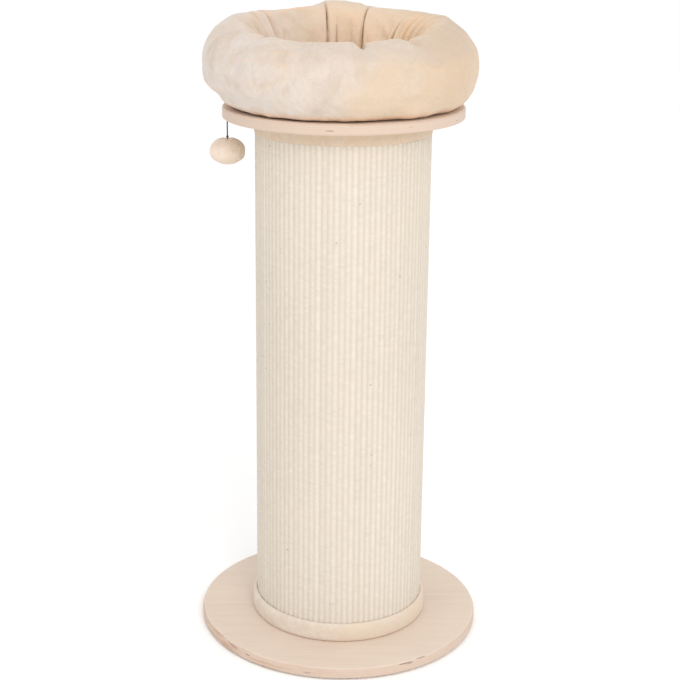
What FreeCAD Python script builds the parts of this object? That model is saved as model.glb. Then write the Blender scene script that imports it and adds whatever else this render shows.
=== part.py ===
import FreeCAD, Part
import math
import os

# Cat scratching post: a wide sisal column on a round plywood base, with a plywood
# top plate that carries a loose ring-shaped plush bed, and a plush ball on an elastic.
# Frame: +Z up, origin at floor level on the column's axis, front is -Y. Millimetres.

V = FreeCAD.Vector
Z = V(0, 0, 1)

# ---------------------------------------------------------------- driving dimensions
PAD_T = 2.0          # felt floor pads under the base
PAD_R = 15.0
PAD_RING = 176.0
PAD_COUNT = 6

BASE_R = 205.0       # birch plywood base disc
BASE_T = 15.0
BASE_Z0 = PAD_T
BASE_Z1 = BASE_Z0 + BASE_T

COL_H = 741.0        # scratching column between the two boards
COL_Z0 = BASE_Z1
COL_Z1 = COL_Z0 + COL_H
SISAL_R = 123.0      # outside of the woven sisal
SISAL_T = 5.0
TUBE_R = SISAL_R - SISAL_T
TUBE_WALL = 6.0
TUBE_RI = TUBE_R - TUBE_WALL
SEAM_GAP = 1.2       # butt seam of the sisal at the back

BAND_R = 129.0       # plush trim bands round both column ends
LOW_BAND_H = 27.0
UP_BAND_H = 22.0
BAND_ROUND = 4.0

TOP_R = 168.0        # birch plywood top plate
TOP_T = 15.0
TOP_Z0 = COL_Z1
TOP_Z1 = TOP_Z0 + TOP_T

DISC_T = 18.0        # boards glued and screwed inside the tube's ends
DISC_R = TUBE_RI - 0.2

BOLT_RING = 75.0     # four M8 bolts at each end
BOLT_R = 3.95
NUT_BORE = 4.0
HOLE_R = 4.5
WASHER_R = 10.0
WASHER_T = 1.6
CBORE_R = 11.0
CBORE_D = 6.5
HEAD_R = 7.0
HEAD_H = 4.0
CSK_R = 8.0
CSK_H = 4.2
NUT_FLANGE_R = 11.0
NUT_FLANGE_T = 1.5
NUT_BARREL_R = 5.0
NUT_BARREL_L = 11.0

END_SCREWS = 6       # wood screws through the tube wall into each end board
STAPLES = 14         # wire staples down the sisal seam

PATCH_R = 16.0       # hook and loop patches that hold the bed
PATCH_RING = 112.0
PATCH_T = 1.0

CLOTH_R = 151.0      # underside cloth of the bed
CLOTH_T = 1.0
BED_RING_R = 142.0   # centre of the bolster's section
BED_A = 48.0         # half width of the section
BED_B = 58.0         # half height of the section, before its foot is flattened
BED_SKIN = 2.0
SEAT_R = 100.5
SEAT_H = 22.0
SEAT_SKIN = 1.5

TOY_X = -161.6       # where the elastic is stapled under the top plate
TOY_Y = 15.0
STAPLE_WIRE = 0.5
STAPLE_HALF = 4.0
STAPLE_DROP = 2.8    # crown's centre below the plate
LOOP_R = 2.2
CORD_R = 0.9
KNOT_Z = 750.0
KNOT_R = 2.0
CORD_TOP = KNOT_Z - KNOT_R - 0.3
BALL_Z = 706.7
BALL_A = 25.5
BALL_B = 19.3
BALL_SIDE_R = 15.0   # tighter arc round the side of the ball
BALL_SKIN = 1.5
CORD_END = 709.0
END_KNOT_R = 2.5

OUT = "parts"
os.makedirs(OUT, exist_ok=True)


# ---------------------------------------------------------------- helpers
def cyl(r, z0, z1, x=0.0, y=0.0):
    return Part.makeCylinder(r, z1 - z0, V(x, y, z0), Z)


def ring(ro, ri, z0, z1, x=0.0, y=0.0):
    return cyl(ro, z0, z1, x, y).cut(cyl(ri, z0 - 1, z1 + 1, x, y))


def spin(points, x=0.0, y=0.0):
    """A closed outline in (radius, height), turned about the vertical line at x, y."""
    wire = Part.makePolygon([V(x + r, y, z) for r, z in points] + [V(x + points[0][0], y, points[0][1])])
    return Part.Face(wire).revolve(V(x, y, 0), Z, 360)


def on_ring(radius, count, first_deg=0.0):
    return [
        (
            radius * math.cos(math.radians(first_deg + 360.0 * i / count)),
            radius * math.sin(math.radians(first_deg + 360.0 * i / count)),
        )
        for i in range(count)
    ]


def rounded(solid, radius, z, r):
    """Rounds the circular edges of that radius at height z."""
    edges = [
        e
        for e in solid.Edges
        if abs(e.BoundBox.ZMin - z) < 1e-6
        and abs(e.BoundBox.ZMax - z) < 1e-6
        and abs(e.BoundBox.XMax - radius) < 1e-3
    ]
    return solid.makeFillet(r, edges)


def joined(shapes):
    """Several separate solids kept in one node."""
    return Part.makeCompound(shapes)


def cut_all(shape, tools):
    return shape.cut(joined(tools)) if tools else shape


def hex_socket(across, z0, z1, x, y):
    r = across / math.sqrt(3)
    pts = [V(x + r * math.cos(math.radians(60 * i)), y + r * math.sin(math.radians(60 * i)), z0) for i in range(7)]
    return Part.Face(Part.makePolygon(pts)).extrude(V(0, 0, z1 - z0))


def save(name, shape):
    shape.exportStep(os.path.join(OUT, name + ".step"))
    print("%-22s solids %2d  volume %9.1f cm3 valid %s" % (name, len(shape.Solids), shape.Volume / 1000.0, shape.isValid()))


# ---------------------------------------------------------------- fasteners
bolt_places = on_ring(BOLT_RING, 4, 45)
seat_z = BASE_Z0 + CBORE_D

base_bolts, base_washers, low_nuts = [], [], []
for x, y in bolt_places:
    zb = seat_z - WASHER_T
    head = spin(
        [
            (0, zb - HEAD_H),
            (HEAD_R * 0.52, zb - HEAD_H),
            (HEAD_R * 0.82, zb - HEAD_H * 0.72),
            (HEAD_R, zb - HEAD_H * 0.25),
            (HEAD_R, zb),
            (0, zb),
        ],
        x,
        y,
    )
    shank = spin([(0, zb), (BOLT_R, zb), (BOLT_R, zb + 24), (BOLT_R - 1.0, zb + 25), (0, zb + 25)], x, y)
    base_bolts.append(head.fuse(shank).removeSplitter().cut(hex_socket(5.0, zb - HEAD_H - 1, zb - 1.4, x, y)))
    base_washers.append(ring(WASHER_R, HOLE_R, zb, seat_z, x, y))


def tee_nut(x, y, face_z, sign):
    """Pronged nut: its flange lies on the board's inner face at face_z, and its barrel runs back into the board."""
    def span(a, b):
        lo, hi = sorted((face_z + sign * a, face_z + sign * b))
        return lo, hi

    f0, f1 = span(0, NUT_FLANGE_T)
    b0, b1 = span(-NUT_BARREL_L, 0)
    body = cyl(NUT_FLANGE_R, f0, f1, x, y).fuse(cyl(NUT_BARREL_R, b0, b1, x, y))
    p0, p1 = span(-7.0, 0)
    for i in range(4):
        spike = Part.makeBox(1.2, 3.4, p1 - p0, V(9.0, -1.7, p0))
        spike.rotate(V(0, 0, 0), Z, 90 * i)
        spike.translate(V(x, y, 0))
        body = body.fuse(spike)
    bore0, bore1 = span(-NUT_BARREL_L - 1, NUT_FLANGE_T + 1)
    return body.removeSplitter().cut(cyl(NUT_BORE, bore0, bore1, x, y))


low_face = COL_Z0 + DISC_T
up_face = COL_Z1 - DISC_T
low_nuts = [tee_nut(x, y, low_face, 1) for x, y in bolt_places]
up_nuts = [tee_nut(x, y, up_face, -1) for x, y in bolt_places]

top_bolts = []
for x, y in bolt_places:
    zt = TOP_Z1 - 0.2
    body = spin(
        [
            (0, zt),
            (CSK_R, zt),
            (CSK_R, zt - 0.5),
            (BOLT_R, zt - CSK_H),
            (BOLT_R, zt - 29.0),
            (BOLT_R - 1.0, zt - 30.0),
            (0, zt - 30.0),
        ],
        x,
        y,
    )
    top_bolts.append(body.cut(hex_socket(5.0, zt - 2.8, zt + 1, x, y)))


def wood_screw(angle_deg, z):
    """Countersunk wood screw pointing at the axis, its head just below the tube's surface."""
    a = math.radians(angle_deg)
    out = V(math.cos(a), math.sin(a), 0)
    inward = V(-out.x, -out.y, 0)

    def at(r):
        return V(out.x * r, out.y * r, z)

    head = Part.makeCone(4.0, 2.0, 2.6, at(TUBE_R - 0.5), inward)
    shank = Part.makeCylinder(2.0, 24.0, at(TUBE_R - 3.1), inward)
    tip = Part.makeCone(2.0, 0.4, 4.0, at(TUBE_R - 27.1), inward)
    return head.fuse([shank, tip]).removeSplitter()


def screw_hole(angle_deg, z):
    """The countersink above a sunk screw head, open to the tube's outside."""
    a = math.radians(angle_deg)
    out = V(math.cos(a), math.sin(a), 0)
    return Part.makeCylinder(4.0, 1.5, V(out.x * (TUBE_R - 0.5), out.y * (TUBE_R - 0.5), z), out)


low_screws = [wood_screw(30 + 360.0 * i / END_SCREWS, COL_Z0 + DISC_T / 2) for i in range(END_SCREWS)]
up_screws = [wood_screw(30 + 360.0 * i / END_SCREWS, COL_Z1 - DISC_T / 2) for i in range(END_SCREWS)]

sinks = [screw_hole(30 + 360.0 * i / END_SCREWS, z) for i in range(END_SCREWS) for z in (COL_Z0 + DISC_T / 2, COL_Z1 - DISC_T / 2)]

staples = []
for i in range(STAPLES):
    z = COL_Z0 + LOW_BAND_H + 22 + i * (COL_H - LOW_BAND_H - UP_BAND_H - 44) / (STAPLES - 1)
    y = SISAL_R - 0.35
    w, r = 5.5, 0.6
    crown = Part.makeCylinder(r, 2 * w, V(-w, y, z), V(1, 0, 0))
    legs = [Part.makeCylinder(r, 9.0, V(s * w, y, z), V(0, -1, 0)) for s in (-1, 1)]
    knees = [Part.makeSphere(r, V(s * w, y, z)) for s in (-1, 1)]
    staples.append(crown.fuse(legs + knees).removeSplitter())

# ---------------------------------------------------------------- base
base = cyl(BASE_R, BASE_Z0, BASE_Z1)
base = rounded(base, BASE_R, BASE_Z1, 3.5)
base = rounded(base, BASE_R, BASE_Z0, 2.0)
base = cut_all(
    base,
    [cyl(CBORE_R, BASE_Z0 - 1, seat_z, x, y) for x, y in bolt_places]
    + [cyl(HOLE_R, seat_z - 1, BASE_Z1 + 1, x, y) for x, y in bolt_places],
)
pads = [cyl(PAD_R, 0, PAD_T, x, y) for x, y in on_ring(PAD_RING, PAD_COUNT, 30)]

save("base_plate", base)
save("floor_pads", joined(pads))
save("base_bolts", joined(base_bolts))
save("base_washers", joined(base_washers))

# ---------------------------------------------------------------- column
low_disc = cyl(DISC_R, COL_Z0, low_face)
low_disc = cut_all(low_disc, [cyl(NUT_BARREL_R, COL_Z0 - 1, low_face + 1, x, y) for x, y in bolt_places])
low_disc = cut_all(low_disc, low_nuts + low_screws)
up_disc = cyl(DISC_R, up_face, COL_Z1)
up_disc = cut_all(up_disc, [cyl(NUT_BARREL_R, up_face - 1, COL_Z1 + 1, x, y) for x, y in bolt_places])
up_disc = cut_all(up_disc, up_nuts + up_screws)

tube = ring(TUBE_R, TUBE_RI, COL_Z0, COL_Z1)
tube = cut_all(tube, low_screws + up_screws + sinks + staples)

sisal = ring(SISAL_R, TUBE_R, COL_Z0, COL_Z1)
sisal = sisal.cut(Part.makeBox(SEAM_GAP, SISAL_R + 10, COL_H + 2, V(-SEAM_GAP / 2, 0, COL_Z0 - 1)))
sisal = cut_all(sisal, staples)


def band(z0, z1):
    """Plush trim with its outer edges rounded over."""
    body = ring(BAND_R, SISAL_R, z0, z1)
    body = rounded(body, BAND_R, z1, BAND_ROUND)
    return rounded(body, BAND_R, z0, BAND_ROUND * 0.5)


save("lower_end_board", low_disc)
save("upper_end_board", up_disc)
save("lower_tee_nuts", joined(low_nuts))
save("upper_tee_nuts", joined(up_nuts))
save("lower_end_screws", joined(low_screws))
save("upper_end_screws", joined(up_screws))
save("column_tube", tube)
save("sisal_cover", sisal)
save("seam_staples", joined(staples))
save("lower_plush_band", band(COL_Z0, COL_Z0 + LOW_BAND_H))
save("upper_plush_band", band(COL_Z1 - UP_BAND_H, COL_Z1))

# ---------------------------------------------------------------- toy
crown_z = TOP_Z0 - STAPLE_DROP
toy_staple = Part.makeCylinder(STAPLE_WIRE, 2 * STAPLE_HALF, V(TOY_X, TOY_Y - STAPLE_HALF, crown_z), V(0, 1, 0))
for s in (-1, 1):
    foot = V(TOY_X, TOY_Y + s * STAPLE_HALF, crown_z)
    toy_staple = toy_staple.fuse([Part.makeCylinder(STAPLE_WIRE, 9.0, foot, Z), Part.makeSphere(STAPLE_WIRE, foot)])
toy_staple = toy_staple.removeSplitter()

loop_z = crown_z + STAPLE_WIRE + 0.1 + CORD_R - LOOP_R
cord_loop = Part.makeTorus(LOOP_R, CORD_R, V(TOY_X, TOY_Y, loop_z), V(0, 1, 0))
loop_knot = Part.makeSphere(KNOT_R, V(TOY_X, TOY_Y, KNOT_Z)).cut(cord_loop)

toy_cord = cyl(CORD_R, CORD_END, CORD_TOP, TOY_X, TOY_Y)
ball_top = BALL_Z + BALL_B
top_knot = Part.makeSphere(KNOT_R, V(TOY_X, TOY_Y, ball_top + 0.6)).cut(toy_cord)
end_knot = Part.makeSphere(END_KNOT_R, V(TOY_X, TOY_Y, CORD_END - 0.4)).cut(toy_cord)


def oval_ball(inset):
    """Squashed ball: a shallow arc above and below, joined by a tighter arc round the side."""
    a, b, side = BALL_A, BALL_B, BALL_SIDE_R
    crown = ((a - side) ** 2 + b * b - side * side) / (2 * (b - side))
    reach = math.hypot(a - side, b - crown)
    tx, tz = (a - side) / reach, (crown - b) / reach
    r1, r2 = side - inset, crown - inset

    def p(x, z):
        return V(TOY_X + x, TOY_Y, BALL_Z + z)

    join = (a - side + r1 * tx, r1 * tz)
    top_mid = (r2 * math.sin(math.atan2(tx, tz) / 2), b - crown + r2 * math.cos(math.atan2(tx, tz) / 2))
    edges = [
        Part.Arc(p(0, b - inset), p(*top_mid), p(*join)).toShape(),
        Part.Arc(p(*join), p(a - inset, 0), p(join[0], -join[1])).toShape(),
        Part.Arc(p(join[0], -join[1]), p(top_mid[0], -top_mid[1]), p(0, inset - b)).toShape(),
        Part.makeLine(p(0, inset - b), p(0, b - inset)),
    ]
    return Part.Face(Part.Wire(edges)).revolve(V(TOY_X, TOY_Y, 0), Z, 360)


ball_outer = oval_ball(0.0)
ball_inner = oval_ball(BALL_SKIN)
ball_cover = ball_outer.cut(ball_inner).cut(joined([toy_cord])).cut(joined([top_knot]))
ball_filling = ball_inner.cut(joined([toy_cord])).cut(joined([end_knot]))

save("toy_staple", toy_staple)
save("cord_loop", cord_loop)
save("loop_knot", loop_knot)
save("toy_cord", toy_cord)
save("cord_knots", joined([top_knot, end_knot]))
save("ball_cover", ball_cover)
save("ball_filling", ball_filling)

# ---------------------------------------------------------------- top plate
top = cyl(TOP_R, TOP_Z0, TOP_Z1)
top = rounded(top, TOP_R, TOP_Z1, 2.5)
top = rounded(top, TOP_R, TOP_Z0, 2.0)
csk = [
    spin(
        [
            (0, TOP_Z1 + 1),
            (CSK_R + 0.3, TOP_Z1 + 1),
            (CSK_R + 0.3, TOP_Z1 - 0.6),
            (HOLE_R, TOP_Z1 - 0.2 - CSK_H),
            (HOLE_R, TOP_Z0 - 1),
            (0, TOP_Z0 - 1),
        ],
        x,
        y,
    )
    for x, y in bolt_places
]
top = cut_all(top, csk + [toy_staple])
save("top_plate", top)
save("top_bolts", joined(top_bolts))

patch_places = on_ring(PATCH_RING, 3, 30)
hooks = [cyl(PATCH_R, TOP_Z1, TOP_Z1 + PATCH_T, x, y) for x, y in patch_places]
loops = [cyl(PATCH_R, TOP_Z1 + PATCH_T + 0.05, TOP_Z1 + 2 * PATCH_T, x, y) for x, y in patch_places]
save("hook_patches", joined(hooks))
save("loop_patches", joined(loops))

# ---------------------------------------------------------------- bed
cloth_z0 = TOP_Z1 + 2 * PATCH_T
bed_z0 = cloth_z0 + CLOTH_T
save("bed_base_cloth", cyl(CLOTH_R, cloth_z0, bed_z0))


def bolster(inset):
    """Stuffed ring of oval section with a flattened foot."""
    a, b = BED_A - inset, BED_B - inset
    zc = bed_z0 + BED_B - 2.0
    e = Part.Ellipse(V(0, 0, 0), b, a).toShape()
    f = Part.Face(Part.Wire([e]))
    f.rotate(V(0, 0, 0), Z, 90)                 # long axis along Y of the sketch
    f.rotate(V(0, 0, 0), V(1, 0, 0), 90)        # sketch Y becomes Z
    f.translate(V(BED_RING_R, 0, zc))
    solid = f.revolve(V(0, 0, 0), Z, 360)
    keep = cyl(BED_RING_R + BED_A + 20, bed_z0 + inset, zc + BED_B + 20)
    return solid.common(keep)


bolster_outer = bolster(0.0)
bolster_inner = bolster(BED_SKIN)
save("bolster_cover", bolster_outer.cut(bolster_inner))
save("bolster_filling", bolster_inner)


def seat(inset):
    body = cyl(SEAT_R - inset, bed_z0 + inset, bed_z0 + SEAT_H - inset)
    body = rounded(body, SEAT_R - inset, bed_z0 + SEAT_H - inset, 8.0 - inset)
    return rounded(body, SEAT_R - inset, bed_z0 + inset, 5.0 - inset)


seat_outer = seat(0.0)
seat_inner = seat(SEAT_SKIN)
save("seat_pad_cover", seat_outer.cut(seat_inner))
save("seat_pad_filling", seat_inner)

print("overall height of the bed's crest", bed_z0 + 2 * BED_B - 2.0)
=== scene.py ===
import math

import bpy
import numpy as np
from mathutils import Matrix, Vector


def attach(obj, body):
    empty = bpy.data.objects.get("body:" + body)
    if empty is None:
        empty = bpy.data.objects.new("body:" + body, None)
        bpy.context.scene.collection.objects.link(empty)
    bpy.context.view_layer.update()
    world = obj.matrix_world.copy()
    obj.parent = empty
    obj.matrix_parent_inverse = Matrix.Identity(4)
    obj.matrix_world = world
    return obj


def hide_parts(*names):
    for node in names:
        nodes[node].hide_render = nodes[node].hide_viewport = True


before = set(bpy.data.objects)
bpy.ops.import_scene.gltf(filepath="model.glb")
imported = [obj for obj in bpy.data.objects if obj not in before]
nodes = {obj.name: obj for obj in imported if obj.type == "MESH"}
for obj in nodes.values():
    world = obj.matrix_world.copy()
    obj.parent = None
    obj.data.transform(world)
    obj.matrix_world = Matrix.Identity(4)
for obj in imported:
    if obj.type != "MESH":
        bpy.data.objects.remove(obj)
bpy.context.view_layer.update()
scene = bpy.context.scene
TAU = 2 * math.pi


# ------------------------------------------------------------------ camera
lens = bpy.data.cameras.new("camera")
lens.sensor_width = 36
lens.lens = 77.31
lens.shift_x = 0.0794
lens.shift_y = -0.06
lens.clip_end = 200
camera = bpy.data.objects.new("camera", lens)
camera.matrix_world = Matrix.Translation((-0.0795, -2.0139, 1.0711)) @ Matrix.Rotation(math.radians(74.0), 4, "X")
scene.collection.objects.link(camera)
scene.camera = camera


# ------------------------------------------------------------------ helpers
def lin(r, g, b):
    """A colour given as it looks on a screen, 0 to 255."""
    return tuple(c / 255 / 12.92 if c <= 10.3 else ((c / 255 + 0.055) / 1.055) ** 2.4 for c in (r, g, b)) + (1.0,)


def mesh_piece(name, points, faces, smooth=True):
    me = bpy.data.meshes.new(name)
    me.from_pydata([tuple(p) for p in np.asarray(points, float)], [], [tuple(int(i) for i in f) for f in faces])
    me.update()
    if smooth:
        me.polygons.foreach_set("use_smooth", [True] * len(me.polygons))
    o = bpy.data.objects.new(name, me)
    scene.collection.objects.link(o)
    return o


def points_of(o):
    co = np.zeros(len(o.data.vertices) * 3, np.float32)
    o.data.vertices.foreach_get("co", co)
    return co.reshape(-1, 3).astype(float)


def normals_of(o):
    n = np.zeros(len(o.data.vertices) * 3, np.float32)
    o.data.vertices.foreach_get("normal", n)
    return n.reshape(-1, 3).astype(float)


def set_points(o, co):
    o.data.vertices.foreach_set("co", np.asarray(co, np.float32).ravel())
    o.data.update()


def attribute(o, name, values):
    a = o.data.attributes.new(name, "FLOAT", "POINT")
    a.data.foreach_set("value", np.asarray(values, np.float32).ravel())


def grid_faces(nu, nv, close_u=True, close_v=True, flip=False):
    """Quads of a grid whose point (i, j) is number i * nv + j."""
    i = np.arange(nu if close_u else nu - 1)
    j = np.arange(nv if close_v else nv - 1)
    I, J = np.meshgrid(i, j, indexing="ij")
    a, b = I * nv + J, ((I + 1) % nu) * nv + J
    c, d = ((I + 1) % nu) * nv + (J + 1) % nv, I * nv + (J + 1) % nv
    f = np.stack([a, b, c, d], -1).reshape(-1, 4)
    return f[:, ::-1] if flip else f


def applied(o):
    """Bakes the modifiers of o into its mesh."""
    dg = bpy.context.evaluated_depsgraph_get()
    me = bpy.data.meshes.new_from_object(o.evaluated_get(dg), preserve_all_data_layers=True, depsgraph=dg)
    o.modifiers.clear()
    old, o.data = o.data, me
    bpy.data.meshes.remove(old)
    me.name = o.name
    me.polygons.foreach_set("use_smooth", [True] * len(me.polygons))
    return o


def subdivided(o, levels=1):
    m = o.modifiers.new("sub", "SUBSURF")
    m.levels = m.render_levels = levels
    return applied(o)


def smoothstep(a, b, x):
    t = np.clip((np.asarray(x, float) - a) / (b - a), 0, 1)
    return t * t * (3 - 2 * t)


def lattice(ix, iy, iz, seed):
    h = (ix * 374761393 + iy * 668265263 + iz * 1103515245 + seed * 1274126177) & 0xFFFFFFFF
    h = ((h ^ (h >> 13)) * 1274126177) & 0xFFFFFFFF
    h = ((h ^ (h >> 15)) * 2246822519) & 0xFFFFFFFF
    return ((h ^ (h >> 16)) & 0xFFFFF) / float(0xFFFFF) * 2 - 1


def noise(p, size, seed=0):
    """Smooth value noise from -1 to 1, with lumps of about that size (a number, or one for each axis)."""
    q = np.asarray(p, float) / np.asarray(size, float)
    i = np.floor(q).astype(np.int64)
    f = q - i
    f = f * f * f * (f * (f * 6 - 15) + 10)
    total = 0.0
    for dx in (0, 1):
        for dy in (0, 1):
            for dz in (0, 1):
                w = (f[..., 0] if dx else 1 - f[..., 0]) * (f[..., 1] if dy else 1 - f[..., 1]) * (f[..., 2] if dz else 1 - f[..., 2])
                total = total + w * lattice(i[..., 0] + dx, i[..., 1] + dy, i[..., 2] + dz, seed)
    return total


def around(table, degrees):
    """Reads a table of (angle, value) at these angles, eased from entry to entry, all the way round."""
    a = np.array([t[0] for t in table], float)
    v = np.array([t[1] for t in table], float)
    order = np.argsort(a)
    a, v = a[order], v[order]
    a, v = np.concatenate([a - 360, a, a + 360]), np.tile(v, 3)
    d = np.mod(degrees, 360.0)
    i = np.searchsorted(a, d, side="right") - 1
    t = (d - a[i]) / (a[i + 1] - a[i])
    t = t * t * (3 - 2 * t)
    return v[i] * (1 - t) + v[i + 1] * t


def loop_curve(P, s):
    """Points of a closed smooth curve through P, at s from 0 to 1."""
    P = np.array(P, float)
    n = len(P)
    x = np.mod(s, 1.0) * n
    i = np.floor(x).astype(int)
    t = (x - i)[..., None]
    p0, p1, p2, p3 = P[(i - 1) % n], P[i % n], P[(i + 1) % n], P[(i + 2) % n]
    return 0.5 * (2 * p1 + (p2 - p0) * t + (2 * p0 - 5 * p1 + 4 * p2 - p3) * t**2 + (3 * p1 - p0 - 3 * p2 + p3) * t**3)


def tube_mesh(name, path, radius, sides=12, closed=False):
    """A round tube along these points."""
    path = np.asarray(path, float)
    n = len(path)
    if closed:
        tan = np.roll(path, -1, 0) - np.roll(path, 1, 0)
    else:
        tan = np.gradient(path, axis=0)
    tan /= np.linalg.norm(tan, axis=1)[:, None]
    side = np.cross(tan[0], (0.31, 0.57, 0.76))
    side /= np.linalg.norm(side)
    rows = []
    for k in range(n):
        side = side - tan[k] * side.dot(tan[k])
        side /= np.linalg.norm(side)
        up = np.cross(tan[k], side)
        rows.append([path[k] + radius * (math.cos(a) * side + math.sin(a) * up) for a in np.arange(sides) * TAU / sides])
    pts = np.array(rows).reshape(-1, 3)
    f = [tuple(q) for q in grid_faces(n, sides, close_u=closed, flip=True)]
    if not closed:
        f.append(tuple(range(sides)))
        f.append(tuple((n - 1) * sides + k for k in reversed(range(sides))))
    return mesh_piece(name, pts, f)


def merged(name, objects):
    """One object from several."""
    pts, faces, start = [], [], 0
    for o in objects:
        co = points_of(o)
        pts.append(co)
        faces += [tuple(start + v for v in p.vertices) for p in o.data.polygons]
        start += len(co)
        bpy.data.objects.remove(o)
    return mesh_piece(name, np.concatenate(pts), faces)


# ------------------------------------------------------------------ the toy's elastic, the one free cord
TOY = (-0.1616, 0.015)
cord_data = bpy.data.curves.new("toy_elastic", "CURVE")
cord_data.dimensions = "3D"
spline = cord_data.splines.new("NURBS")
spline.points.add(2)
for point, z in zip(spline.points, (0.7477, 0.7280, 0.7090)):
    point.co = (TOY[0], TOY[1], z, 1)
spline.order_u = 3
spline.use_endpoint_u = True
spline.use_smooth = True
cord_data.bevel_depth = 0.0009
cord_data.bevel_resolution = 5
cord_data.resolution_u = 24
cord_data.use_fill_caps = True
toy_elastic = bpy.data.objects.new("toy_elastic", cord_data)
scene.collection.objects.link(toy_elastic)


def knot(name, centre, size, thick):
    """A small overhand knot, pulled tight."""
    t = np.linspace(0, TAU, 72, endpoint=False)
    p = np.stack([np.sin(t) + 2 * np.sin(2 * t), np.cos(t) - 2 * np.cos(2 * t), -1.15 * np.sin(3 * t)], -1) / 3.0
    return tube_mesh(name, np.array(centre) + p * size, thick, 10, closed=True)


# ------------------------------------------------------------------ materials
class Finish:
    """A procedural material: a shader, and short calls to add nodes to it."""

    def __init__(self, name, **sockets):
        self.material = bpy.data.materials.new(name)
        self.material.use_nodes = True
        self.tree = self.material.node_tree
        self.tree.nodes.clear()
        out = self.tree.nodes.new("ShaderNodeOutputMaterial")
        self.shader = self.tree.nodes.new("ShaderNodeBsdfPrincipled")
        self.tree.links.new(self.shader.outputs[0], out.inputs[0])
        for k, v in sockets.items():
            self.shader.inputs[k.replace("_", " ")].default_value = v
        self.place = self.add("TexCoord").outputs["Object"]

    def add(self, kind, inputs=None, **settings):
        n = self.tree.nodes.new("ShaderNode" + kind)
        for k, v in settings.items():
            setattr(n, k, v)
        for k, v in (inputs or {}).items():
            if isinstance(v, bpy.types.NodeSocket):
                self.tree.links.new(v, n.inputs[k])
            else:
                n.inputs[k].default_value = v
        return n

    def math(self, op, a, b=0.0, clamp=False):
        return self.add("Math", {0: a, 1: b}, operation=op, use_clamp=clamp).outputs[0]

    def vector(self, op, a, b=(0, 0, 0)):
        return self.add("VectorMath", {0: a, 1: b}, operation=op).outputs[0]

    def scaled(self, x, y, z, source=None):
        return self.vector("MULTIPLY", source or self.place, (x, y, z))

    def noise(self, scale, detail=2.0, rough=0.5, source=None, distortion=0.0):
        return self.add("TexNoise", {"Vector": source or self.place, "Scale": scale, "Detail": detail, "Roughness": rough, "Distortion": distortion}).outputs[0]

    def span(self, x, a, b, to_a=0.0, to_b=1.0, smooth=False):
        n = self.add("MapRange", {0: x, 1: a, 2: b, 3: to_a, 4: to_b})
        if smooth:
            n.interpolation_type = "SMOOTHSTEP"
        return n.outputs[0]

    def mix(self, factor, a, b, blend="MIX"):
        n = self.add("Mix", {0: factor, 6: a, 7: b}, data_type="RGBA", blend_type=blend)
        return n.outputs[2]

    def attribute(self, name):
        return self.add("Attribute", {}, attribute_name=name).outputs["Fac"]

    def bump(self, height, strength, distance, normal=None):
        inputs = {"Height": height, "Strength": strength, "Distance": distance}
        if normal is not None:
            inputs["Normal"] = normal
        return self.add("Bump", inputs).outputs[0]

    def set(self, **sockets):
        for k, v in sockets.items():
            s = self.shader.inputs[k.replace("_", " ")]
            if isinstance(v, bpy.types.NodeSocket):
                self.tree.links.new(v, s)
            else:
                s.default_value = v
        return self.material


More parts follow.
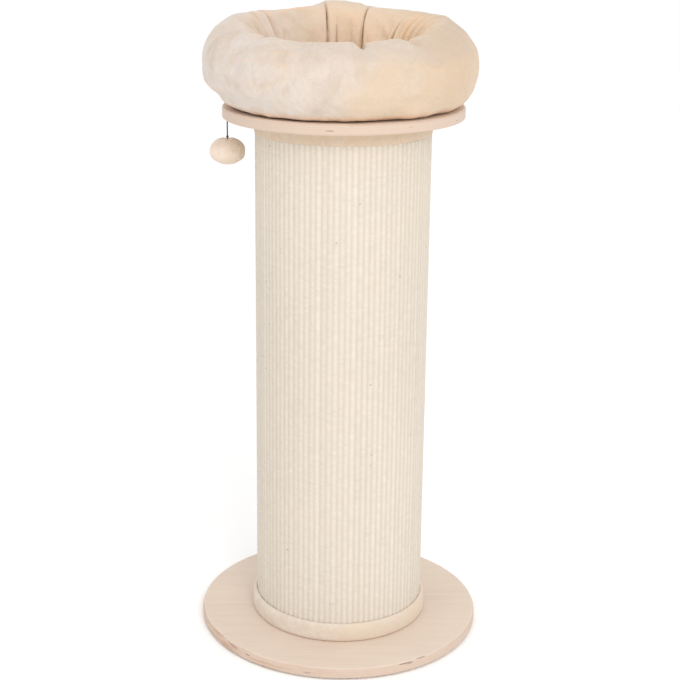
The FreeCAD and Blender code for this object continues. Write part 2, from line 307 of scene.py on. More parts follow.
def plush(name, light, dark, warm, patch=0.030, pile=1.0, cool=None, skin=False, foot=None):
    """Short-pile plush: pale where the pile is brushed up, darker where it lies, with a fine nap."""
    m = Finish(name, Roughness=0.92, Sheen_Weight=0.30, Sheen_Roughness=0.45, Specular_IOR_Level=0.18)
    m.shader.inputs["Sheen Tint"].default_value = lin(255, 246, 236)
    x, y, z = m.add("SeparateXYZ", {0: m.place}).outputs
    big = m.noise(1 / patch, 4.0, 0.62, distortion=0.6)
    mid = m.noise(4.2 / patch, 3.0, 0.6, source=m.scaled(1.0, 1.0, 0.7), distortion=0.4)
    nap = m.noise(620.0, 2.0, 0.6)
    lie = m.math("ADD", m.math("MULTIPLY", m.span(big, 0.32, 0.68, smooth=True), 0.50), m.math("MULTIPLY", m.span(mid, 0.30, 0.70), 0.50))
    colour = m.mix(lie, lin(*dark), lin(*light))
    tint = m.noise(0.42 / patch, 2.0, 0.5, source=m.scaled(1, 1, 1))
    lean = m.math("MULTIPLY", x, 1.3)
    colour = m.mix(m.math("MULTIPLY", m.span(m.math("ADD", tint, lean), 0.34, 0.72, smooth=True), 0.70), colour, lin(*warm))
    if cool:
        # on the left the pile is brushed this way and that: cool pale patches of painted highlight, and dull darker
        # ones
        left = m.span(x, 0.05, -0.15, smooth=True)
        brushed = m.noise(26.0, 3.0, 0.55, source=m.scaled(1.0, 1.0, 0.8), distortion=0.8)
        pale = m.math("MULTIPLY", left, m.span(brushed, 0.42, 0.62, 0.14, 0.50, smooth=True))
        dull = m.math("MULTIPLY", m.math("MULTIPLY", left, m.span(brushed, 0.44, 0.32, smooth=True)), 0.38)
        colour = m.mix(pale, colour, lin(*cool))
        colour = m.mix(dull, colour, lin(*(int(t * 0.93) for t in dark)))
    if skin:
        inside, deep = m.attribute("inside"), m.attribute("crease")
        top = m.span(m.add("SeparateXYZ", {0: m.add("TexCoord").outputs["Normal"]}).outputs[2], 0.25, 0.85, smooth=True)
        ruffled = m.noise(30.0, 3.0, 0.6, source=m.scaled(1.0, 1.0, 0.6), distortion=0.9)
        colour = m.mix(m.math("MULTIPLY", top, m.span(ruffled, 0.34, 0.66, 0.12, 0.50, smooth=True)), colour, lin(197, 182, 169))
        right = m.span(x, 0.06, 0.16, smooth=True)
        colour = m.mix(m.math("MULTIPLY", right, 0.55), colour, lin(196, 171, 143))
        colour = m.mix(m.math("MULTIPLY", m.math("MULTIPLY", right, top), 0.50), colour, lin(184, 165, 148))
        # painted bounce light: the inner wall lifted to a lighter, warmer cream, more so towards the right
        bounce_light = m.span(x, -0.10, 0.03, 0.22, 0.58, smooth=True)
        colour = m.mix(m.math("MULTIPLY", inside, bounce_light), colour, lin(227, 197, 164))
        # painted shade in the creases of the folds, a warm orange as from light bounced about in them
        colour = m.mix(m.math("MULTIPLY", deep, 0.90, clamp=True), colour, lin(246, 178, 116))
        # painted shade: warm brown low down on the bolster, where it meets the plate
        colour = m.mix(m.math("MULTIPLY", m.span(z, 0.786, 0.776, smooth=True), 0.55), colour, lin(222, 168, 124))
    if foot:
        # painted contact shade: a warm brown line along the lowest 2 mm of the band, where it sits on the base
        colour = m.mix(m.math("MULTIPLY", m.span(z, foot + 0.0022, foot, smooth=True), 0.6), colour, lin(204, 150, 104))
    colour = m.mix(m.math("MULTIPLY", m.span(nap, 0.35, 0.65), 0.10), colour, lin(232, 224, 216))
    n1 = m.bump(nap, 0.35 * pile, 0.0008)
    n2 = m.bump(mid, 0.45, 0.004 * patch / 0.034, n1)
    return m.set(Base_Color=colour, Normal=n2)


def plywood(name, z0, thick, face, voids, plies=11, left_streak_shade=0.0):
    """Birch plywood: a pale sliced face, and the plies at the rim, end grain and long grain by turns."""
    m = Finish(name, Roughness=0.58, Specular_IOR_Level=0.28)
    xyz = m.add("SeparateXYZ", {0: m.place})
    x, y, z = xyz.outputs
    normal = m.add("SeparateXYZ", {0: m.add("TexCoord").outputs["Normal"]})
    # the face: fine streaks along the grain, and slow clouds
    streak = m.noise(1.0, 5.0, 0.62, source=m.scaled(9.0, 210.0, 60.0), distortion=0.25)
    flow = m.noise(1.0, 3.0, 0.5, source=m.scaled(2.2, 26.0, 8.0), distortion=0.9)
    cloud = m.noise(7.0, 2.0, 0.5)
    face_colour = m.mix(m.span(streak, 0.30, 0.72), lin(*face[0]), lin(*face[1]))
    face_colour = m.mix(m.math("MULTIPLY", m.span(flow, 0.42, 0.62, smooth=True), 0.42), face_colour, lin(*face[2]))
    face_colour = m.mix(m.math("MULTIPLY", m.span(cloud, 0.40, 0.66, smooth=True), 0.35), face_colour, lin(*face[3]))
    # the rim: plies by height
    wander = m.math("MULTIPLY", m.math("SUBTRACT", m.noise(14.0, 2.0, 0.5), 0.5), 0.0006)
    level = m.math("MULTIPLY", m.math("SUBTRACT", m.math("ADD", z, wander), z0), plies / thick)
    odd = m.math("GREATER_THAN", m.math("FRACT", m.math("MULTIPLY", level, 0.5)), 0.5)
    inside = m.math("FRACT", level)
    glue = m.math("GREATER_THAN", m.math("ABSOLUTE", m.math("SUBTRACT", inside, 0.5)), 0.43)
    nx = m.math("POWER", m.math("ABSOLUTE", normal.outputs[0]), 1.6)
    end = m.math("ABSOLUTE", m.math("SUBTRACT", odd, nx))  # 1 where the rim cuts this ply's grain across
    fibre = m.noise(1.0, 3.0, 0.6, source=m.scaled(420.0, 420.0, 1500.0))
    long = m.noise(1.0, 4.0, 0.6, source=m.scaled(30.0, 30.0, 2600.0))
    rim = m.mix(end, lin(*face[4]), lin(*face[5]))
    rim = m.mix(m.math("MULTIPLY", m.span(long, 0.35, 0.7), 0.35), rim, lin(*face[6]))
    rim = m.mix(m.math("MULTIPLY", m.span(fibre, 0.45, 0.75), 0.16), rim, lin(178, 146, 120))
    rim = m.mix(m.math("MULTIPLY", glue, 0.13), rim, lin(164, 130, 106))
    if left_streak_shade:
        # dark warm streaks along the plies of the rim, laid on the left only as painted shade where the rim is turned
        # from the key light
        turn = m.add("Math", {0: y, 1: x}, operation="ARCTAN2").outputs[0]
        along = m.add("CombineXYZ", {0: m.math("MULTIPLY", turn, 5.0), 1: m.math("MULTIPLY", z, 420.0), 2: 0.3})
        streaks = m.noise(1.0, 3.0, 0.6, source=along.outputs[0])
        where = m.math("MULTIPLY", m.span(x, 0.02, -0.16, smooth=True), m.span(streaks, 0.44, 0.60, smooth=True))
        rim = m.mix(m.math("MULTIPLY", where, left_streak_shade), rim, lin(176, 128, 98))
    up = m.math("GREATER_THAN", m.math("ABSOLUTE", normal.outputs[2]), 0.80)
    colour = m.mix(up, rim, face_colour)
    # small open voids in the core plies, their dark painted shade inside the gaps: (angle, half width in degrees,
    # height, half height, slope)
    angle = m.math("MULTIPLY", m.add("Math", {0: y, 1: x}, operation="ARCTAN2").outputs[0], 180 / math.pi)
    dark = None
    for at, half, height, tall, slope in voids:
        da = m.math("DIVIDE", m.math("SUBTRACT", angle, at), half)
        dz = m.math("DIVIDE", m.math("SUBTRACT", m.math("SUBTRACT", z, height), m.math("MULTIPLY", m.math("MULTIPLY", da, half), slope)), tall)
        far = m.math("SQRT", m.math("ADD", m.math("MULTIPLY", m.math("MULTIPLY", da, da), m.math("MULTIPLY", da, da)), m.math("MULTIPLY", dz, dz)))
        spot = m.span(far, 1.0, 0.72)
        dark = spot if dark is None else m.math("MAXIMUM", dark, spot)
    # and a few more of them round the back
    cells = m.add("CombineXYZ", {0: m.math("MULTIPLY", angle, 0.22), 1: m.math("MULTIPLY", level, 1.0), 2: 0.5})
    cell = m.add("TexVoronoi", {"Vector": cells.outputs[0], "Scale": 1.0, "Randomness": 0.85})
    pick = m.add("SeparateColor", {0: cell.outputs["Color"]})
    rare = m.math("GREATER_THAN", pick.outputs[0], 0.955)
    near = m.span(cell.outputs["Distance"], 0.34, 0.22)
    back = m.math("GREATER_THAN", y, 0.02)
    dark = m.math("MAXIMUM", dark, m.math("MULTIPLY", m.math("MULTIPLY", rare, near), back))
    side = m.math("LESS_THAN", m.math("ABSOLUTE", normal.outputs[2]), 0.85)
    dark = m.math("MULTIPLY", dark, side)
    # the voids painted near black: painted shade inside them
    colour = m.mix(m.math("MULTIPLY", dark, 0.88), colour, lin(74, 46, 36))
    height = m.math("ADD", m.math("MULTIPLY", streak, 0.5), m.math("MULTIPLY", fibre, 0.5))
    height = m.math("SUBTRACT", height, m.math("MULTIPLY", dark, 2.0))
    return m.set(Base_Color=colour, Normal=m.bump(height, 0.22, 0.0006))


def steel(name, tone=(196, 198, 202), rough=0.34):
    m = Finish(name, Metallic=1.0, Specular_IOR_Level=0.5)
    wear = m.noise(900.0, 3.0, 0.6)
    haze = m.noise(160.0, 2.0, 0.5)
    colour = m.mix(m.span(haze, 0.35, 0.7), lin(*tone), lin(*(int(t * 0.86) for t in tone)))
    return m.set(Base_Color=colour, Roughness=m.span(wear, 0.3, 0.7, rough - 0.08, rough + 0.12), Normal=m.bump(wear, 0.12, 0.0002))


def felt(name, tone, dark, scale=900.0):
    m = Finish(name, Roughness=0.97, Specular_IOR_Level=0.1, Sheen_Weight=0.2, Sheen_Roughness=0.5)
    a = m.noise(scale, 4.0, 0.7, distortion=1.2)
    b = m.noise(scale * 0.16, 3.0, 0.6)
    colour = m.mix(m.span(a, 0.3, 0.7), lin(*dark), lin(*tone))
    colour = m.mix(m.math("MULTIPLY", m.span(b, 0.3, 0.7), 0.25), colour, lin(*dark))
    return m.set(Base_Color=colour, Normal=m.bump(a, 0.5, 0.0006))


def paperboard(name):
    """Spiral-wound card: faint turns of the strip, and its fibres."""
    m = Finish(name, Roughness=0.85, Specular_IOR_Level=0.15)
    xyz = m.add("SeparateXYZ", {0: m.place})
    angle = m.math("DIVIDE", m.add("Math", {0: xyz.outputs[1], 1: xyz.outputs[0]}, operation="ARCTAN2").outputs[0], TAU)
    turn = m.math("FRACT", m.math("ADD", m.math("DIVIDE", xyz.outputs[2], 0.11), angle))
    edge = m.math("LESS_THAN", turn, 0.016)
    fibre = m.noise(1.0, 4.0, 0.65, source=m.scaled(220, 220, 70))
    colour = m.mix(m.span(fibre, 0.3, 0.7), lin(171, 138, 104), lin(196, 165, 130))
    colour = m.mix(m.math("MULTIPLY", edge, 0.5), colour, lin(120, 92, 66))
    height = m.math("SUBTRACT", m.math("MULTIPLY", fibre, 0.3), edge)
    return m.set(Base_Color=colour, Normal=m.bump(height, 0.4, 0.0004))


def hook_and_loop(name, tone):
    m = Finish(name, Roughness=0.8, Specular_IOR_Level=0.3)
    cell = m.add("TexVoronoi", {"Vector": m.place, "Scale": 900.0, "Randomness": 0.55})
    weave = m.noise(1500.0, 2.0, 0.5)
    colour = m.mix(m.span(cell.outputs["Distance"], 0.1, 0.55), lin(*tone), lin(*(int(t * 0.72) for t in tone)))
    height = m.math("SUBTRACT", m.math("MULTIPLY", weave, 0.4), cell.outputs["Distance"])
    return m.set(Base_Color=colour, Normal=m.bump(height, 0.7, 0.0008))


def twill(name, tone):
    """Plain cotton cloth: over-and-under yarns."""
    m = Finish(name, Roughness=0.88, Specular_IOR_Level=0.15, Sheen_Weight=0.1)
    xyz = m.add("SeparateXYZ", {0: m.place})
    a = m.math("SINE", m.math("MULTIPLY", xyz.outputs[0], TAU / 0.0011))
    b = m.math("SINE", m.math("MULTIPLY", xyz.outputs[1], TAU / 0.0011))
    weave = m.math("MULTIPLY", a, b)
    slub = m.noise(1.0, 3.0, 0.6, source=m.scaled(60, 700, 60))
    colour = m.mix(m.span(slub, 0.35, 0.7), lin(*tone), lin(*(int(t * 0.93) for t in tone)))
    colour = m.mix(m.math("MULTIPLY", m.span(weave, -1, 1), 0.16), colour, lin(*(int(t * 0.80) for t in tone)))
    return m.set(Base_Color=colour, Normal=m.bump(weave, 0.4, 0.0004))


def elastic(name):
    """Fine black elastic in a braided cover."""
    m = Finish(name, Roughness=0.62, Specular_IOR_Level=0.35)
    xyz = m.add("SeparateXYZ", {0: m.vector("SUBTRACT", m.place, (TOY[0], TOY[1], 0.0))})
    angle = m.add("Math", {0: xyz.outputs[1], 1: xyz.outputs[0]}, operation="ARCTAN2").outputs[0]
    turn = m.math("MULTIPLY", xyz.outputs[2], TAU / 0.0016)
    one = m.math("SINE", m.math("ADD", m.math("MULTIPLY", angle, 4.0), turn))
    two = m.math("SINE", m.math("SUBTRACT", m.math("MULTIPLY", angle, 4.0), turn))
    braid = m.math("MAXIMUM", one, two)
    colour = m.mix(m.span(braid, -0.2, 1.0), lin(38, 36, 36), lin(84, 80, 78))
    return m.set(Base_Color=colour, Normal=m.bump(braid, 0.5, 0.0003))


def sisal_finish(name):
    """Bleached sisal yarn: pale, dry and a little glossy, with painted shade darker and warmer down between the ribs.
    """
    m = Finish(name, Roughness=0.78, Specular_IOR_Level=0.22)
    groove_shade, tone, speck = m.attribute("groove_shade"), m.attribute("tone"), m.attribute("speck")
    fibre = m.noise(1.0, 3.0, 0.65, source=m.scaled(1400, 1400, 420))
    cloud = m.noise(9.0, 3.0, 0.55)
    colour = m.mix(m.span(tone, -1, 1), lin(211, 202, 188), lin(226, 218, 207))
    colour = m.mix(m.math("MULTIPLY", m.span(cloud, 0.38, 0.66, smooth=True), 0.30), colour, lin(224, 213, 198))
    colour = m.mix(m.math("MULTIPLY", m.span(fibre, 0.35, 0.75), 0.14), colour, lin(191, 176, 156))
    # painted shade down between the ribs
    colour = m.mix(m.math("MULTIPLY", groove_shade, 0.38, clamp=True), colour, lin(186, 168, 147))
    colour = m.mix(m.math("MULTIPLY", speck, 0.75, clamp=True), colour, lin(128, 104, 80))
    return m.set(Base_Color=colour, Normal=m.bump(fibre, 0.45, 0.0005))


PLUSH_LIGHT, PLUSH_DARK, PLUSH_WARM = (210, 196, 182), (194, 177, 161), (207, 182, 152)
bed_plush = plush("cream_plush_bed", PLUSH_LIGHT, PLUSH_DARK, PLUSH_WARM, patch=0.034, cool=(214, 208, 206), skin=True)
pad_plush = plush("cream_plush_pad", (219, 204, 188), (203, 185, 166), (216, 191, 162), patch=0.028)
# foot: the height of the band's painted contact shade
band_plush = plush("cream_plush_band", (219, 207, 194), (206, 191, 174), (216, 198, 177), patch=0.018, pile=0.8, foot=0.0172)
# the neck band's plush: a darker, warmer copy of the band's, with the shade under the top plate painted in
neck_plush_shaded = plush("cream_plush_neck_shaded", (213, 195, 174), (200, 179, 156), (210, 186, 156), patch=0.018, pile=0.8)
ball_plush = plush("cream_plush_ball", (230, 214, 198), (217, 198, 177), (225, 203, 176), patch=0.014, pile=1.2)
FACE = [(211, 193, 177), (221, 205, 190), (214, 195, 180), (223, 208, 192), (209, 189, 173), (201, 178, 160), (214, 198, 184)]
base_ply = plywood(
    "birch_plywood_base", 0.002, 0.015, FACE,
    [(-139.1, 2.6, 0.0132, 0.00060, -0.00029), (-130.9, 1.1, 0.0113, 0.00065, -0.0006), (-104.3, 1.7, 0.0085, 0.00038, -0.0001),
     (-64.3, 3.3, 0.0150, 0.00052, 0.0), (-57.0, 2.3, 0.0163, 0.00040, 0.0), (-62.6, 1.6, 0.0132, 0.00034, 0.0)],
    left_streak_shade=0.55,
)
top_ply = plywood(
    "birch_plywood_top", 0.758, 0.015, FACE,
    [(-98.1, 2.0, 0.7642, 0.00042, 0.0), (-28.1, 0.8, 0.7640, 0.00050, 0.0), (-61.0, 0.5, 0.7660, 0.0003, 0.0)],
)
core_ply = plywood("core_plywood", 0.0, 0.018, [(205, 176, 142), (222, 196, 164), (210, 180, 148), (226, 200, 170), (214, 182, 148), (196, 160, 124), (224, 196, 162)],
                   [(10.0, 1.0, 0.010, 0.0004, 0.0)], plies=9)
zinc = steel("zinc_steel")
wire = steel("wire_steel", (186, 186, 188), 0.28)
pad_felt = felt("felt_pad", (150, 142, 132), (116, 108, 100))
card = paperboard("paperboard")
hook_tape = hook_and_loop("hook_tape", (222, 212, 196))
loop_tape = hook_and_loop("loop_tape", (232, 222, 206))
base_twill = twill("base_cloth", (228, 214, 192))
black = elastic("black_elastic")
sisal_mat = sisal_finish("sisal_weave")


def finish_node(name, material):
    o = nodes[name]
    o.data.materials.clear()
    o.data.materials.append(material)
    for p in o.data.polygons:
        p.material_index = 0


for name, material in {
    "base_plate": base_ply, "top_plate": top_ply, "floor_pads": pad_felt,
    "base_bolts": zinc, "base_washers": zinc, "top_bolts": zinc, "lower_tee_nuts": zinc, "upper_tee_nuts": zinc,
    "lower_end_screws": zinc, "upper_end_screws": zinc, "seam_staples": wire, "toy_staple": wire,
    "lower_end_board": core_ply, "upper_end_board": core_ply, "column_tube": card,
    "hook_patches": hook_tape, "loop_patches": loop_tape, "cord_loop": black,
}.items():
    finish_node(name, material)


def clothe(o, material, slot, body, *replaced):
    o.data.materials.clear()
    o.data.materials.append(material)
    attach(o, body)
    if replaced:
        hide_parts(*replaced)
    return o


# ------------------------------------------------------------------ sisal cover
def sisal_cover():
    ribs, per, loops = 94, 4, 195
    rng = np.random.default_rng(11)
    seam = math.pi / 2
    gap = 0.0012 / 0.123
    nu, nv = ribs * per + 1, loops * 2 + 1
    u, v = np.linspace(0, 1, nu), np.linspace(0, 1, nv)
    U, V = np.meshgrid(u, v, indexing="ij")
    ang = seam + gap / 2 + U * (TAU - gap)
    z = 0.0172 + V * (0.7578 - 0.0172)
    I, J = np.meshgrid(np.arange(nu), np.arange(nv), indexing="ij")
    across = np.array([0.0, 0.78, 1.0, 0.78])[I % per]
    crest = across
    # each rib is a row of loops, the two sides of it half a loop apart, as in a chain stitch
    side = I % per
    up = (J % 2 == 0).astype(float)
    bead = np.where(side == 1, up, np.where(side == 3, 1 - up, 0.55))
    rib_no = np.clip(I // per, 0, ribs - 1)
    loop_no = np.clip(J // 2, 0, loops - 1)
    rib_r = rng.normal(0, 0.00010, ribs)[rib_no]
    loop_r = rng.normal(0, 0.00016, (ribs, loops))[rib_no, loop_no]
    P = np.stack([np.cos(ang) * 0.123, np.sin(ang) * 0.123, z], -1)
    slow = noise(P, (0.09, 0.09, 0.22), 3)
    drift = noise(P, (0.05, 0.05, 0.16), 5)
    r = 0.12175 + 0.00060 * crest + 0.00085 * bead * (across > 0) + rib_r * across + 0.7 * loop_r * across + 0.00010 * slow
    r = np.minimum(r, 0.12345)
    ang = ang + drift * 0.0030 * smoothstep(0, 0.02, U) * smoothstep(1, 0.98, U) + rng.normal(0, 0.0012, (nu, 1)) * smoothstep(0, 0.02, U) * smoothstep(1, 0.98, U)
    zz = z + (noise(P, (0.07, 0.07, 0.30), 8) * 0.0007 + rng.normal(0, 0.00014, (nu, nv))) * smoothstep(0, 0.01, V) * smoothstep(1, 0.99, V)
    outer = np.stack([np.cos(ang) * r, np.sin(ang) * r, zz], -1)
    # inner face: plain, and only two rows
    iu = np.arange(0, nu, per)
    inner_ang = seam + gap / 2 + u[iu] * (TAU - gap)
    # rows of the inner face must meet the outer ones at the rims, so the rims share a coarse strip
    pts = [outer.reshape(-1, 3)]
    faces = [tuple(f) for f in grid_faces(nu, nv, close_u=False, close_v=False)]
    start = nu * nv
    inner = np.array([[(math.cos(a) * 0.1181, math.sin(a) * 0.1181, zc) for zc in (0.0172, 0.7578)] for a in (seam + gap / 2 + u * (TAU - gap))])
    pts.append(inner.reshape(-1, 3))
    for i in range(nu - 1):
        a, b = start + 2 * i, start + 2 * (i + 1)
        faces.append((a, a + 1, b + 1, b))  # the inner face
        faces.append((i * nv, a, b, (i + 1) * nv))  # lower rim
        faces.append((i * nv + nv - 1, (i + 1) * nv + nv - 1, b + 1, a + 1))  # upper rim
    # the two cut edges at the seam
    faces.append(tuple([start, start + 1] + [j for j in range(nv - 1, -1, -1)])[::-1])
    last = start + 2 * (nu - 1)
    faces.append(tuple([last, last + 1] + [(nu - 1) * nv + j for j in range(nv - 1, -1, -1)]))
    o = mesh_piece("sisal_wrap", np.concatenate(pts), faces)
    # how deep each point lies between the ribs, for the painted groove shade
    groove_shade = np.clip((0.1230 - r) / 0.0011, 0, 1) ** 1.2
    tone = np.clip(0.40 * slow + rng.normal(0, 0.22, (ribs, loops))[rib_no, loop_no] + rng.normal(0, 0.22, ribs)[rib_no], -1, 1)
    speck = np.zeros((nu, nv))
    for _ in range(70):
        speck[rng.integers(0, nu), rng.integers(0, nv)] = rng.uniform(0.4, 1.0)
    rest = np.zeros(nu * 2)
    attribute(o, "groove_shade", np.concatenate([groove_shade.ravel(), rest]))
    attribute(o, "tone", np.concatenate([tone.ravel(), rest]))
    attribute(o, "speck", np.concatenate([speck.ravel(), rest]))
    return o


sisal = sisal_cover()
clothe(sisal, sisal_mat, "sisal_weave", "stand", "sisal_cover")


# ------------------------------------------------------------------ plush bands round the column
def band(name, low, high, seed, neck=False):
    """A folded strip of plush, glued round the column, butted at the back."""
    nu, nv = 360, 22
    t = np.linspace(0, 1, nu)
    ang = math.pi / 2 + 0.004 + t * (TAU - 0.008)
    h = high - low
    rows = [(0.1232, 0.0), (0.1262, 0.0), (0.1280, 0.0005), (0.1288, 0.0020), (0.1291, 0.0052), (0.1292, 0.30 * h), (0.1290, 0.52 * h), (0.1286, 0.70 * h),
            (0.1279, 0.84 * h), (0.1269, 0.93 * h), (0.1257, h - 0.0008), (0.1246, h - 0.0001), (0.1237, h), (0.1230, h - 0.0006), (0.1229, h - 0.003),
            (0.1229, 0.6 * h), (0.1229, 0.3 * h)]
    if neck:  # thin below, and pushed out where the plate presses it
        rows = [(0.1230, 0.0), (0.1233, 0.0002), (0.1235, 0.0012), (0.1238, 0.0028), (0.1241, 0.0050), (0.1245, 0.36 * h), (0.1249, 0.52 * h), (0.1255, 0.68 * h),
                (0.1266, h - 0.0050), (0.1277, h - 0.0029), (0.1286, h - 0.0014), (0.1289, h - 0.0005), (0.1284, h), (0.1260, h), (0.1233, h), (0.1229, 0.6 * h), (0.1229, 0.3 * h)]
    R = np.array(rows)
    nv = len(R)
    A, K = np.meshgrid(ang, np.arange(nv), indexing="ij")
    r, z = R[K, 0].copy(), R[K, 1].copy() + low
    P = np.stack([np.cos(A) * 0.128, np.sin(A) * 0.128, z], -1)
    out = (R[:, 0] > 0.12325)[K]
    r += out * (noise(P, 0.016, seed) * 0.00030 + noise(P, 0.006, seed + 1) * 0.00016)
    topmost = (R[:, 1] < 0.004)[K] if neck else (R[:, 1] > h - 0.006)[K]
    z += topmost * out * noise(P, (0.03, 0.03, 1.0), seed + 2) * 0.0006
    z = np.clip(z, low, high)
    ends = smoothstep(0, 0.006, t) * smoothstep(1, 0.994, t)
    r = np.where(out, 0.1234 + (r - 0.1234) * (0.55 + 0.45 * ends)[:, None], r)
    pts = np.stack([np.cos(A) * r, np.sin(A) * r, z], -1).reshape(-1, 3)
    faces = [tuple(f) for f in grid_faces(nu, nv, close_u=False, close_v=True)]
    faces.append(tuple(range(nv)))
    faces.append(tuple((nu - 1) * nv + k for k in reversed(range(nv))))
    return mesh_piece(name, pts, faces)


lower_band = band("foot_band", 0.0171, 0.0440, 21)
clothe(lower_band, band_plush, "cream_plush", "stand", "lower_plush_band")
upper_band = band("neck_band", 0.7362, 0.7579, 31, neck=True)
clothe(upper_band, neck_plush_shaded, "cream_plush", "stand", "upper_plush_band")


# ------------------------------------------------------------------ the bed's bolster
BED_X = -0.005
SECTION = [
    (0.1275, 0.7766), (0.1130, 0.7830), (0.1045, 0.7960), (0.0970, 0.8130), (0.0940, 0.8320), (0.0970, 0.8520), (0.1050, 0.8690),
    (0.1180, 0.8825), (0.1330, 0.8890), (0.1480, 0.8895), (0.1625, 0.8850), (0.1750, 0.8760), (0.1845, 0.8620), (0.1900, 0.8450),
    (0.1912, 0.8285), (0.1892, 0.8120), (0.1830, 0.7962), (0.1712, 0.7824), (0.1575, 0.7744), (0.1440, 0.7762),
]
CREST = [
    (0, 0.8910), (12, 0.8940), (30, 0.8950), (45, 0.8942), (58, 0.8950), (66, 0.8972), (72, 0.8998), (78, 0.9040), (85, 0.9060), (95, 0.9062), (101, 0.9010), (106, 0.8990), (115, 0.8978),
    (125, 0.8962), (143, 0.8974), (160, 0.8967), (180, 0.8924), (200, 0.8860), (215, 0.8805), (222, 0.8755), (229, 0.8790), (236, 0.8775),
    (246, 0.8745), (258, 0.8750), (270, 0.8755), (276, 0.8740), (282, 0.8730), (288, 0.8755), (299, 0.8785), (309, 0.8720), (320, 0.8795), (332, 0.8845), (346, 0.8880),
]
# how much further out the inner wall stands, by angle
INNER = [(0, 0.0), (40, 0.0), (90, 0.0), (120, 0.003), (150, 0.008), (180, 0.011), (205, 0.008), (240, 0.002), (270, 0.0), (320, 0.0)]
# how much further in the lower outer wall stands, by angle
UNDER = [(0, -0.0020), (40, 0.0), (90, 0.002), (140, 0.007), (165, 0.0104), (185, 0.0112), (205, 0.0100), (222, 0.0062), (240, 0.0034), (255, 0.0016), (270, 0.0008), (290, 0.0014), (310, 0.0010), (335, -0.0015)]
# folds of the inside: angle at the foot, angle at the outer end, where along the section it starts and ends, depth, half width in degrees
FOLDS = [
    (98.8, 97.4, 0.02, 0.455, 0.0105, 0.9), (92.8, 89.5, 0.03, 0.33, 0.008, 0.95), (80.5, 80.5, 0.03, 0.36, 0.0035, 2.4),
    (70.5, 70.5, 0.02, 0.455, 0.0105, 0.9), (57.0, 56.0, 0.02, 0.20, 0.004, 3.0), (41.0, 41.5, 0.02, 0.36, 0.0170, 1.0), (31.0, 26.0, 0.03, 0.45, 0.0100, 1.3),
    (23.0, 17.0, 0.03, 0.46, 0.0085, 1.3), (13.0, 7.0, 0.02, 0.46, 0.0075, 1.6), (-2.0, -4.0, 0.02, 0.44, 0.007, 2.4),
    (-18.0, -19.0, 0.02, 0.42, 0.008, 2.4), (-33.0, -33.0, 0.02, 0.44, 0.009, 2.4), (-51.0, -51.0, 0.02, 0.51, 0.009, 2.6),
    (-66.0, -66.0, 0.02, 0.41, 0.008, 2.4), (-81.5, -81.5, 0.02, 0.520, 0.018, 1.5), (-96.0, -96.0, 0.02, 0.41, 0.008, 2.4),
    (-112.0, -112.0, 0.02, 0.44, 0.009, 2.4), (-125.0, -125.0, 0.02, 0.41, 0.008, 2.4), (-138.0, -139.5, 0.02, 0.52, 0.0075, 2.0),
    (-152.0, -153.0, 0.02, 0.44, 0.008, 2.4), (-166.0, -166.0, 0.02, 0.46, 0.007, 2.4), (180.0, 183.0, 0.02, 0.46, 0.006, 2.0),
    (170.0, 175.0, 0.02, 0.48, 0.007, 1.5), (161.0, 166.5, 0.02, 0.48, 0.009, 1.3), (152.0, 158.0, 0.02, 0.47, 0.010, 1.2),
    (142.5, 143.5, 0.02, 0.48, 0.013, 1.1), (120.0, 120.0, 0.02, 0.22, 0.004, 2.6),
]
# folds pressed shut by the stuffing either side: angle at the foot, at the outer end, half width in degrees, how far shut, where along the section it ends
SHUT = [(98.8, 97.4, 3.0, 0.78, 0.46), (92.8, 89.5, 1.8, 0.75, 0.33), (70.5, 70.5, 3.0, 0.78, 0.46), (41.0, 41.5, 2.4, 0.76, 0.37), (142.5, 143.5, 2.0, 0.6, 0.46), (155.0, 158.0, 1.6, 0.5, 0.46)]
# where the ring's columns of points stand closer together: angle, half width, how much closer
CLOSE = [(98.2, 5.0, 2.2), (90.0, 4.0, 1.4), (70.5, 5.0, 2.2), (41.2, 4.5, 1.8), (155.0, 20.0, 0.7), (278.5, 7.0, 1.0), (18.0, 18.0, 0.4)]


def spread(n, dense):
    """n angles round the circle, closer together where the folds are."""
    a = np.linspace(0, 360, 3601)
    w = np.ones_like(a)
    for at, half, more in dense:
        w += more * np.exp(-((((a - at + 180) % 360 - 180) / half) ** 4))
    c = np.concatenate([[0], np.cumsum((w[1:] + w[:-1]) / 2)])
    return np.radians(np.interp(np.arange(n) * c[-1] / n, c, a))


